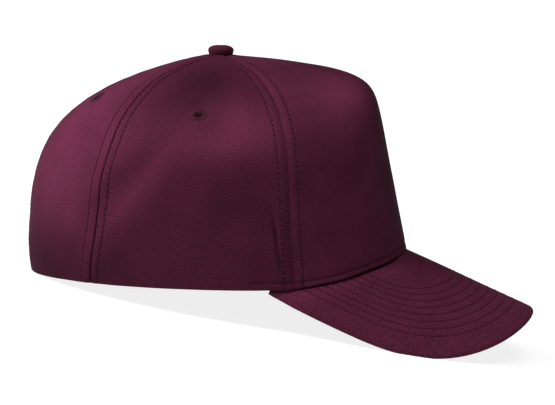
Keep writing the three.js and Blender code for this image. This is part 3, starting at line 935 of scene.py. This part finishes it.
def add_maths(tree, operation, *values, clamp=False):
    """Adds one step of maths and gives its result."""
    return add_node(tree, "ShaderNodeMath", {"operation": operation, "use_clamp": clamp},
                    dict(enumerate(values))).outputs[0]


def add_map(tree, title):
    """Adds a UV map and gives it and its two parts."""
    spot = add_node(tree, "ShaderNodeUVMap", {"uv_map": title}, {}).outputs[0]
    parts = add_node(tree, "ShaderNodeSeparateXYZ", {}, {0: spot}).outputs
    return spot, parts[0], parts[1]


def add_noise(tree, where, scale, detail, roughness=0.5, dimensions="2D"):
    return add_node(tree, "ShaderNodeTexNoise", {"noise_dimensions": dimensions}, {
        "Vector": where, "Scale": scale, "Detail": detail, "Roughness": roughness}).outputs[0]


def add_mix(tree, level, low, high):
    """Adds a blend of two colours."""
    return add_node(tree, "ShaderNodeMix", {"data_type": "RGBA"},
                    {0: level, 6: low, 7: high}).outputs[2]


def add_ramp(tree, value, low, high, at_low, at_high):
    """Adds a smooth change from one level to another while a value rises."""
    return add_node(tree, "ShaderNodeMapRange", {"interpolation_type": "SMOOTHSTEP"}, {
        "Value": value, "From Min": low, "From Max": high,
        "To Min": at_low, "To Max": at_high}).outputs[0]


def add_bump(tree, strength, distance, height):
    return add_node(tree, "ShaderNodeBump", {}, {
        "Strength": strength, "Distance": distance, "Height": height}).outputs[0]


def add_surface(tree, values):
    """Adds the shader, with its constants on its own sockets, and the output."""
    shader = add_node(tree, "ShaderNodeBsdfPrincipled", {}, values)
    add_node(tree, "ShaderNodeOutputMaterial", {}, {"Surface": shader.outputs[0]})


def new_material(name):
    material = bpy.data.materials.new(name)
    material.use_nodes = True
    tree = material.node_tree
    tree.nodes.clear()
    return material, tree


def darker(colour, share):
    return [c * share for c in colour[:3]] + [1.0]


def brushed_twill(name, colour, shade, wale, lean, contrast, wales, flecks, has_rows=True):
    """Garment-dyed brushed cotton twill, woven with steep wales. Brushing leaves a fine nap, so
    the cloth is matt and shows the wales as a soft diagonal grain. Real wales are about 0.6 mm
    apart and are drawn at 0.95 mm, the finest that shows. wales and flecks weigh the two kinds of
    grain."""
    material, tree = new_material(name)
    weave, across, up = add_map(tree, "weave")
    # Wales, with the slow wander of hand-laid cloth
    phase = add_maths(tree, "MULTIPLY", across, TAU * math.cos(lean) / wale)
    phase = add_maths(tree, "MULTIPLY_ADD", up, TAU * math.sin(lean) / wale, phase)
    phase = add_maths(tree, "MULTIPLY_ADD", add_noise(tree, weave, 0.05, 1.0), TAU * 1.5, phase)
    grain = add_maths(tree, "MULTIPLY", add_maths(tree, "SINE", phase), wales)
    # Yarns that cross the wales
    yarns = add_maths(tree, "SINE", add_maths(tree, "MULTIPLY", up, TAU / (wale * 0.95)))
    grain = add_maths(tree, "MULTIPLY_ADD", yarns, 0.45 * wales, grain)
    # Slubs: uneven yarns, 1.2 mm long
    slubs = add_noise(tree, weave, 0.85, 3.0, 0.7)
    grain = add_maths(tree, "MULTIPLY_ADD", slubs, flecks, grain)
    grain = add_maths(tree, "MULTIPLY_ADD", grain, 0.55, -0.275 * flecks)
    if has_rows:
        # Painted light and shade from the map, and how strongly the weave shows
        _, level, shows = add_map(tree, "dye")
        grain = add_maths(tree, "MULTIPLY", grain, shows)
    # Unevenly dyed cloth, in clouds about 15 mm across
    clouds = add_noise(tree, weave, 0.06, 4.0, 0.6)
    light = add_maths(tree, "MULTIPLY_ADD", grain, contrast, 0.35)
    light = add_maths(tree, "MULTIPLY_ADD", clouds, 0.3, light, clamp=True)
    base = add_mix(tree, light, shade, colour)
    height = add_maths(tree, "MULTIPLY", grain, 0.14)
    if has_rows:
        # Needle holes: a dimple at each end of a stitch, in the sunk row, with painted shade: the
        # colour is darkened in the holes and more faintly along the whole row
        _, row, along = add_map(tree, "stitch")
        beside = add_ramp(tree, row, 0.1, 0.75, 1.0, 0.0)
        wave = add_maths(tree, "COSINE", add_maths(tree, "MULTIPLY", along, TAU))
        pit_and_shade = add_maths(tree, "MULTIPLY", beside, add_ramp(tree, wave, 0.0, 0.9, 0.12, 1.0))
        # Painted shade: near-black mixed in over the holes and rows
        base = add_mix(tree, add_maths(tree, "MULTIPLY", pit_and_shade, 0.8), base, linear("#12050b"))
        # Painted light and shade scale the colour
        base = add_node(tree, "ShaderNodeVectorMath", {"operation": "SCALE"},
                        {0: base, "Scale": level}).outputs[0]
        height = add_maths(tree, "MULTIPLY_ADD", pit_and_shade, -0.45, height)
    add_surface(tree, {"Base Color": base, "Roughness": 0.9, "IOR": 1.46,
                       "Specular IOR Level": 0.05, "Normal": add_bump(tree, 0.8, MM, height)})
    return material


def spun_thread(name, colour):
    """Spun polyester sewing thread, two-ply. Smoother than the cloth, so it has a soft gleam and a
    fine twist."""
    material, tree = new_material(name)
    where = add_node(tree, "ShaderNodeTexCoord", {}, {}).outputs["Object"]
    twist = add_node(tree, "ShaderNodeTexWave",
                     {"wave_type": "BANDS", "bands_direction": "DIAGONAL"},
                     {"Vector": where, "Scale": 900.0, "Distortion": 2.0}).outputs[1]
    tone = add_noise(tree, where, 350.0, 2.0, dimensions="3D")
    level = add_maths(tree, "MULTIPLY_ADD", twist, 0.4, tone)
    add_surface(tree, {"Base Color": add_mix(tree, level, darker(colour, 0.6), colour),
                       "Roughness": 0.6, "IOR": 1.5, "Specular IOR Level": 0.08,
                       "Normal": add_bump(tree, 0.5, 0.00008, twist)})
    return material


def matt_paper(name, colour):
    """Matt white background paper lit from below, so that the shadow on it stays faint."""
    material, tree = new_material(name)
    where = add_node(tree, "ShaderNodeTexCoord", {}, {}).outputs["Object"]
    grain = add_noise(tree, where, 40.0, 2.0, dimensions="3D")
    add_surface(tree, {"Base Color": add_mix(tree, grain, darker(colour, 0.96), colour),
                       "Roughness": 1.0, "Specular IOR Level": 0.0,
                       "Emission Color": (1, 1, 1, 1), "Emission Strength": 0.84})
    return material


def colour_property(name, description, code):
    return bpy.props.FloatVectorProperty(name=name, description=description, subtype="COLOR",
                                         size=4, min=0, max=1, default=linear(code))


def length_property(name, description, default, least, most):
    return bpy.props.FloatProperty(name=name, description=description, default=default, min=least,
                                   max=most, unit="LENGTH", precision=5)


def strength_property(name, description, default):
    return bpy.props.FloatProperty(name=name, description=description, default=default, min=0)


class CapCloth(bpy.types.PropertyGroup):
    """Colours and weave of the cap's cloth"""
    colour: colour_property("Cloth Colour", "Raised yarns of the twill", "#59223a")
    shade: colour_property("Cloth Shade", "Hollows between the yarns", "#210913")
    thread: colour_property("Thread Colour", "Sewing thread", "#42172a")
    wale: length_property(
        "Wale Spacing", "Distance between the diagonal wales of the twill", 0.00095, 0.0004, 0.004)
    thread_width: length_property(
        "Thread Width", "Width of the sewing thread", 0.0004, 0.0001, 0.002)


class CapStage(bpy.types.PropertyGroup):
    """Floor and light"""
    floor_radius: length_property("Floor Radius", "Radius of the round floor", 60.0, 0.5, 1000)
    back_light: strength_property("Back Light", "Soft light from above and behind the cap", 2.7)
    low_light: strength_property("Low Light", "Soft light from low behind the cap", 1.0)
    top_light: strength_property("Top Light", "Wide soft light from overhead", 1.35)
    side_light: strength_property("Side Light", "Weak light from beside the camera", 0.2)


# Twills: lean of the wales in degrees, contrast, weight of the wales, weight of the slubs
TWILLS = {
    "crown": (34.5, 2.1, 0.62, 1.2),
    "peak": (-40, 0.95, 0.2, 2.6),
    "sweatband": (45, 0.6, 0.6, 1.0),
}


def finish_for(part):
    """The material of one kind of piece, made once."""
    cloth = bpy.context.scene.cap_cloth
    name = "spun_polyester_thread" if part == "thread" else "brushed_cotton_twill_" + part
    if name in bpy.data.materials:
        return bpy.data.materials[name]
    if part == "thread":
        return spun_thread(name, list(cloth.thread))
    lean, contrast, wales, flecks = TWILLS[part]
    return brushed_twill(name, list(cloth.colour), list(cloth.shade), cloth.wale / MM,
                         math.radians(lean), contrast, wales, flecks, part != "sweatband")


class CAP_OT_panels(bpy.types.Operator):
    """Front, side and back panels of the crown"""
    bl_idname = "cap.panels"
    bl_label = "Crown Panels"

    def execute(self, context):
        for name in PANELS:
            panel(name)
        return {"FINISHED"}


class CAP_OT_peak(bpy.types.Operator):
    """Stiff curved peak with its sewn channels"""
    bl_idname = "cap.peak"
    bl_label = "Peak"

    def execute(self, context):
        half = even_ways(130)
        limit = mirrored(inset_limit(half))[:, None]
        side = mirrored(np.ones(len(half)), -1)[:, None]
        inset = np.minimum(peak_insets()[None, :], limit)
        ways = np.broadcast_to(mirrored(half)[:, None], inset.shape)
        limits = np.broadcast_to(limit, inset.shape)
        u, v = peak_line(ways, inset)
        u = u * side
        skins = [peak_skin(u, v, ways, inset, limits, under) for under in (False, True)]
        run = run_along(u, v)
        run -= run[len(half) - 1]
        row = np.abs(inset[..., None] - peak_rows()).min(axis=-1)
        # Painted shade darkens the peak's cloth under the rim and just before it, and painted light
        # makes it paler about 11 mm before the rim, away from the middle
        from_band = limits - inset
        level = PEAK_PAINTED_LIGHT * (1 - 0.6 * bell(np.minimum(0, 1.2 - from_band), 1.3))
        level = level * (1 + 0.4 * bell(from_band - 11, 6) * smoothstep(np.abs(u), 15, 45))
        maps = {"weave": np.stack([u, v], axis=-1),
                "stitch": np.stack([row + 0.2, run / PEAK_PITCH], axis=-1),
                "dye": np.stack([level, np.ones_like(level)], axis=-1)}
        make_shell("peak_cloth", skins, maps, finish_for("peak"), ["peak"])
        return {"FINISHED"}


class CAP_OT_sweatband(bpy.types.Operator):
    """Cloth sweatband inside the rim"""
    bl_idname = "cap.sweatband"
    bl_label = "Sweatband"

    def execute(self, context):
        polar = np.linspace(-180, 180, 361)[:, None]
        height = np.concatenate([[0, 0.1, 0.3, 0.6, 1, 2, 3, 4], np.linspace(5, 26, 15),
                                 [27, 28, 29, 30, 30.4, 30.7, 30.9, 31]])[None, :]
        front = 1 - smoothstep(np.abs(polar), CORNER_POLAR - 9, CORNER_POLAR - 1)
        share = (BAND_INSET - BAND_DROP * front + height) / run_length(polar)
        polar = np.broadcast_to(polar, share.shape)
        soft = rolled(np.minimum(height, height.max() - height), BAND_THICKNESS / 2)
        near = np.radians(polar) * HALF_WIDTH
        wave = 0.25 * ripple(near, height, 30) * smoothstep(height, 8, 26)
        seam = 0.35 * bell(height - 27.5, 0.7) + 0.3 * bell(height - 2.2, 0.8)
        depths = (WALL + BAND_GAP + soft + np.maximum(0, -wave),
                  WALL + BAND_GAP + BAND_THICKNESS - soft - seam + np.maximum(0, wave))
        skins = [clear_of_peak(off_crown(polar, share, -depth), gap=BAND_SEAT) for depth in depths]
        weave = np.stack([near, np.broadcast_to(height, share.shape)], axis=-1)
        make_shell("sweatband_cloth_band", skins, {"weave": weave}, finish_for("sweatband"),
                   ["sweatband"], ring=True)
        return {"FINISHED"}


class CAP_OT_tape(bpy.types.Operator):
    """Plain tape sewn over the seams inside the crown"""
    bl_idname = "cap.tape"
    bl_label = "Seam Tape"

    def execute(self, context):
        offsets = np.array([-7, -6.9, -6.6, -5, -2.5, 0, 2.5, 5, 6.6, 6.9, 7])[:, None]
        soft = rolled(np.abs(offsets[-1] - np.abs(offsets)), 0.15)
        share = np.linspace(0.02, 0.962, 130)[None, :]
        for seam, sign, label in (("front", 1, "front_left"), ("front", -1, "front_right"),
                                  ("rear", 1, "rear_left"), ("rear", -1, "rear_right"),
                                  ("middle", 1, "middle")):
            middle = sign * seam_polar(seam, share)
            r, _ = on_crown(middle, share)
            beside = offsets * np.minimum(1, 0.5 * r / offsets.max())
            polar = middle + np.degrees(beside / r)
            along = np.broadcast_to(share, polar.shape)
            run = along * run_length(polar)
            r, _ = on_crown(polar, along)
            depth = WALL + TAPE_SEAT + allowance_lift(run, r) - soft_relief(polar, along, r)
            skins = [clear_of_peak(off_crown(polar, along, -lower), RIM_LIFT)
                     for lower in (depth + soft, depth + TAPE_THICKNESS - soft)]
            make_shell(f"seam_tape_{label}", skins, {"weave": np.stack([beside, run], axis=-1)},
                       finish_for("sweatband"))
        return {"FINISHED"}


class CAP_OT_button(bpy.types.Operator):
    """Cloth-covered button on top of the crown"""
    bl_idname = "cap.button"
    bl_label = "Button"

    def execute(self, context):
        lines = 97
        around = np.radians(np.linspace(0, 360, lines))[:, None]
        tops = [CROWN_Z[k][CROWN_R[k] >= APEX_RADIUS - 1e-6].max() for k in range(len(POLARS))]
        seat = max(tops) + GAP - BUTTON_SINK
        brim = BUTTON_HEIGHT * 0.5
        low = np.radians(np.linspace(0, 90, 13))[None, :]
        high = np.radians(np.linspace(0, 90, 22))[None, 1:]
        pleats = 0.1 * np.sin(around * 14) + 0.06 * np.sin(around * 9 + math.radians(40))
        r_low = BUTTON_RADIUS * (0.8 + 0.2 * np.sin(low)) + pleats * np.cos(low)
        z_low = seat + brim * (1 - np.cos(low)) + 0 * around
        r_high = BUTTON_RADIUS * np.cos(high) ** 0.72 + 0 * around
        z_high = seat + brim + (BUTTON_HEIGHT - brim) * np.sin(high)
        z_high = z_high + 0.05 * ripple(r_high * np.cos(around), r_high * np.sin(around), 5)
        foot = min(seat, self.washer_seat())
        shank_r = np.full((lines, 4), [0.0, WASHER_RADIUS, WASHER_RADIUS, SHANK_RADIUS])
        shank_z = foot + np.full((lines, 4), [-WASHER_THICKNESS, -WASHER_THICKNESS, 0.0, 0.0])
        r = np.concatenate([shank_r, r_low, r_high], axis=1)
        z = np.concatenate([shank_z, z_low, z_high], axis=1)
        r[:, -1] = 0
        z[:, -1] = z[:, -1].mean()
        points = np.stack([r * np.cos(around), r * np.sin(around), z], axis=-1)
        points[-1] = points[0]
        step = np.linalg.norm(np.diff(points, axis=1), axis=-1)
        run = np.concatenate([np.zeros((lines, 1)), np.cumsum(step, axis=1)], axis=1)
        left = run[:, -1:] - run
        weave = np.stack([left * np.cos(around), left * np.sin(around)], axis=-1)
        maps = {"weave": weave, "stitch": np.full(weave.shape, FAR), "dye": np.ones(weave.shape)}
        make_piece("button_cloth", points, grid_faces(r.shape[0] - 1, r.shape[1] - 1), maps,
                   finish_for("crown"), ["button"])
        return {"FINISHED"}

    def washer_seat(self):
        """Height of the washer's upper face, below the lowest cloth under the button."""
        under = [np.interp(-WASHER_RADIUS, -CROWN_R[k], CROWN_Z[k]) for k in range(0, 361, 20)]
        return min(under) - WALL - WASHER_ROOM - GAP


class CAP_OT_eyelets(bpy.types.Operator):
    """Embroidered ventilation eyelets"""
    bl_idname = "cap.eyelets"
    bl_label = "Eyelets"

    def execute(self, context):
        threads, per_thread = 30, 8
        steps = threads * per_thread
        turn = np.linspace(0, TAU, steps + 1)[:, None]
        section = np.linspace(0, TAU, 25)[None, :]
        random = np.random.default_rng(11)
        uneven = np.repeat(random.uniform(-0.35, 0.35, threads), per_thread)
        uneven = np.append(uneven, uneven[0])[:, None]
        cord = np.abs(np.cos(turn * threads / 2))
        middle = (EYELET_RADIUS + EYELET_HOLE) / 2
        half = (EYELET_RADIUS - EYELET_HOLE) / 2
        outward = np.maximum(0, np.cos(section))
        radius = middle + (half + 0.15 * cord + uneven * outward) * np.cos(section)
        height = (EYELET_THICKNESS / 2 - 0.3 + 0.22 * cord) * np.sin(section)
        faces = grid_faces(steps, 24)
        for kind, (polar, share) in EYELETS.items():
            for sign, label in ((1, "left"), (-1, "right")):
                centre, across, up, normal = disc_frame(sign * polar, share)
                points = (centre + across * (radius * np.cos(turn))[..., None]
                          + up * (radius * np.sin(turn))[..., None] + normal * height[..., None])
                make_piece(f"eyelet_{kind}_{label}_embroidery", points, faces, {},
                           finish_for("thread"), [f"eyelet_{kind}_{label}"])
        return {"FINISHED"}


class CAP_OT_stitching(bpy.types.Operator):
    """Rows of topstitching on crown and peak"""
    bl_idname = "cap.stitching"
    bl_label = "Stitching"

    def execute(self, context):
        radius = context.scene.cap_cloth.thread_width / MM / 2
        crown = []
        for sign in (1, -1):
            for seam, side in (("front", 1), ("front", -1), ("rear", 1), ("rear", -1),
                               ("middle", -1)):
                row = seam_row(seam, sign, side * ROW_AWAY)
                crown.append(stitches(*row, CROWN_PITCH, radius))
        polar = np.linspace(-HEM_POLAR, HEM_POLAR, 1600)
        share = HEM_ROW / run_length(polar)
        crown.append(stitches(outer_point(polar, share), crown_normal(polar, share),
                              np.radians(polar) * on_crown(polar, 0)[0], HEM_PITCH, radius))
        gather("crown_stitching", crown)
        half = even_ways(700)
        limit = inset_limit(half)
        sewn = []
        for row in peak_rows():
            sewn_here = limit > row + PEAK_ROWS_STOP
            half_u, half_v = peak_line(half[sewn_here], np.full(sewn_here.sum(), row))
            u, v = mirrored(half_u, -1), mirrored(half_v)
            ways, limits = mirrored(half[sewn_here]), mirrored(limit[sewn_here])
            run = run_along(u, v)
            run -= run[len(half_u) - 1]
            for under in (False, True):
                path = peak_skin(u, v, ways, np.full(len(u), row), limits, under)
                normals = sheet_normal(u) * (-1 if under else 1)
                sewn.append(stitches(path, normals, run, PEAK_PITCH, radius))
        gather("peak_stitching", sewn)
        return {"FINISHED"}


# Camera: measured against the cap's own frame, so it is pitched back with the cap
VIEW_TURN = math.radians(2.34)
VIEW_RISE = math.radians(5.38)
VIEW_ROLL = math.radians(1.0)
VIEW_AIM = np.array([0, -31.4, 37.6])
VIEW_DISTANCE = 1800.0
MM_PER_PIXEL = 0.532
IMAGE_WIDTH = 555
SENSOR_WIDTH = 36

FLOOR_CORNERS = 64

# Soft distant lights: way from the cap to the light, width in degrees
LIGHTS = {
    "back_light": ((-0.27, 0.62, 0.74), 20),
    "low_light": ((0.1, 0.97, 0.28), 20),
    "top_light": ((-0.1, 0, 1), 40),
    "side_light": ((-0.85, 0.45, 0.25), 50),
}


class CAP_OT_stage(bpy.types.Operator):
    """Pale floor, soft studio light and camera"""
    bl_idname = "cap.stage"
    bl_label = "Stage"

    def execute(self, context):
        stage = context.scene.cap_stage
        scene = context.scene
        scene.view_settings.view_transform = "Standard"
        scene.view_settings.look = "None"
        rim = TAU * np.arange(FLOOR_CORNERS) / FLOOR_CORNERS
        corners = stage.floor_radius * np.stack([np.cos(rim), np.sin(rim), 0 * rim], axis=-1)
        mesh = bpy.data.meshes.new("floor")
        mesh.from_pydata(corners.tolist(), [], [list(range(FLOOR_CORNERS))])
        mesh.materials.append(matt_paper("matt_background_paper", linear("#8c8c8c")))
        floor = bpy.data.objects.new("floor", mesh)
        scene.collection.objects.link(floor)
        for name, (towards, spread) in LIGHTS.items():
            self.add_light(name, towards, spread, getattr(stage, name))
        self.add_world()
        self.add_camera()
        return {"FINISHED"}

    def add_light(self, name, towards, spread, strength):
        data = bpy.data.lights.new(name, "SUN")
        data.energy = strength
        data.angle = math.radians(spread)
        light = bpy.data.objects.new(name, data)
        light.rotation_mode = "QUATERNION"
        light.rotation_quaternion = (-Vector(towards)).to_track_quat("-Z", "Y")
        bpy.context.scene.collection.objects.link(light)

    def add_world(self):
        """Studio with a pale band along the horizon and a dim ceiling."""
        world = bpy.data.worlds.new("white_studio")
        world.use_nodes = True
        tree = world.node_tree
        tree.nodes.clear()
        where = add_node(tree, "ShaderNodeTexCoord", {}, {}).outputs["Generated"]
        up = add_node(tree, "ShaderNodeSeparateXYZ", {}, {0: where}).outputs[2]
        level = add_ramp(tree, up, 0.02, 0.2, 1.0, 0.08)
        shader = add_node(tree, "ShaderNodeBackground", {},
                          {"Color": (1, 1, 1, 1), "Strength": level})
        add_node(tree, "ShaderNodeOutputWorld", {}, {"Surface": shader.outputs[0]})
        bpy.context.scene.world = world

    def add_camera(self):
        """Camera at the photo's angle, which is given in the cap's own frame."""
        back = np.array([-math.cos(VIEW_RISE) * math.cos(VIEW_TURN),
                         -math.cos(VIEW_RISE) * math.sin(VIEW_TURN), math.sin(VIEW_RISE)])
        right = np.array([math.sin(VIEW_TURN), -math.cos(VIEW_TURN), 0])
        up = np.cross(back, right)
        right, up = (math.cos(VIEW_ROLL) * right + math.sin(VIEW_ROLL) * up,
                     -math.sin(VIEW_ROLL) * right + math.cos(VIEW_ROLL) * up)
        axes = np.stack([turn_only(axis) for axis in (right, up, back)], axis=-1)
        matrix = Matrix(axes.tolist()).to_4x4()
        matrix.translation = Vector(place(VIEW_AIM + back * VIEW_DISTANCE))
        data = bpy.data.cameras.new("camera")
        data.sensor_width = SENSOR_WIDTH
        data.lens = SENSOR_WIDTH * VIEW_DISTANCE / MM_PER_PIXEL / IMAGE_WIDTH
        data.clip_end = 200
        camera = bpy.data.objects.new("camera", data)
        camera.matrix_world = matrix
        bpy.context.scene.collection.objects.link(camera)
        bpy.context.scene.camera = camera


class CAP_PT_panel(bpy.types.Panel):
    """Sizes, colours and pieces of the cap"""
    bl_idname = "CAP_PT_panel"
    bl_label = "Five Panel Cap"
    bl_space_type = "VIEW_3D"
    bl_region_type = "UI"
    bl_category = "Cap"

    def draw(self, context):
        column = self.layout.column()
        for settings in (context.scene.cap_cloth, context.scene.cap_stage):
            for key in settings.__annotations__:
                column.prop(settings, key)
        for operator in OPERATORS:
            column.operator(operator.bl_idname)


OPERATORS = (CAP_OT_panels, CAP_OT_peak, CAP_OT_sweatband, CAP_OT_tape, CAP_OT_button,
             CAP_OT_eyelets, CAP_OT_stitching, CAP_OT_stage)
CLASSES = (CapCloth, CapStage, *OPERATORS, CAP_PT_panel)


def register():
    for item in CLASSES:
        bpy.utils.register_class(item)
    bpy.types.Scene.cap_cloth = bpy.props.PointerProperty(type=CapCloth)
    bpy.types.Scene.cap_stage = bpy.props.PointerProperty(type=CapStage)


def unregister():
    del bpy.types.Scene.cap_cloth
    del bpy.types.Scene.cap_stage
    for item in reversed(CLASSES):
        bpy.utils.unregister_class(item)


def main():
    register()
    bpy.ops.cap.panels()
    bpy.ops.cap.peak()
    bpy.ops.cap.sweatband()
    bpy.ops.cap.tape()
    bpy.ops.cap.button()
    bpy.ops.cap.eyelets()
    bpy.ops.cap.stitching()
    bpy.ops.cap.stage()


if __name__ == "__main__":
    main()
